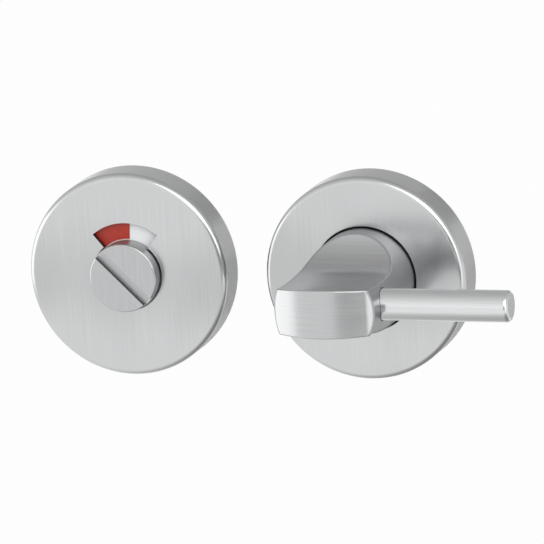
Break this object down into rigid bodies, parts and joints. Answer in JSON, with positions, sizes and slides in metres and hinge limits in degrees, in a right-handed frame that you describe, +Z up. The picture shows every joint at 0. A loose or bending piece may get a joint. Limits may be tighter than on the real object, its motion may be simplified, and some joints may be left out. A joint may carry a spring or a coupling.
{
  "type": "bathroom thumb turn lock",
  "caption": "Bathroom door lock trim: a round rose with a lever thumb turn on a square spindle, and a round rose with a coin-slot release and a red and white indicator window.",
  "frame": {"origin": "centre of the inside rose's back face, on the door's surface and on the turning axis", "axes": "+Y into the door, +Z up the door, +X along the lever bar; the release half lies at -X"},
  "size_m": [0.134, 0.09, 0.052],
  "materials": {
    "satin_steel": "satin brushed stainless steel",
    "drawn_steel": "bright drawn, zinc plated",
    "spring_steel": "phosphated spring steel",
    "dark_nylon": "moulded glass-filled nylon",
    "pale_acetal": "moulded acetal",
    "insert_brass": "turned",
    "white_plastic": "moulded white",
    "red_film": "printed red film"
  },
  "bodies": {
    "roses": {"turn_rose_cover": "satin_steel", "turn_inner_rose": "dark_nylon", "turn_bush": "pale_acetal", "turn_disc_spring": "spring_steel", "turn_thrust_washer": "spring_steel", "release_rose_cover": "satin_steel", "release_inner_rose": "dark_nylon", "release_threaded_inserts": "insert_brass", "release_bush": "pale_acetal", "release_disc_spring": "spring_steel", "release_thrust_washer": "spring_steel"},
    "thumb_turn": {"turn_knob": "satin_steel", "lever_bar": "satin_steel", "spindle": "drawn_steel", "spindle_pin": "drawn_steel", "turn_retaining_clip": "spring_steel"},
    "coin_release": {"release_disc": "satin_steel", "indicator_dial": "white_plastic", "indicator_red_film": "red_film", "release_retaining_clip": "spring_steel"}
  },
  "joints": [
    {"name": "turn_hinge", "type": "hinge", "parent": "roses", "child": "thumb_turn", "pos_m": [0, 0, 0], "axis": [0, -1, 0], "range_deg": [0, 90]},
    {"name": "release_hinge", "type": "hinge", "parent": "roses", "child": "coin_release", "pos_m": [-0.0625, 0, 0], "axis": [0, -1, 0], "range_deg": [-45, 45]}
  ]
}
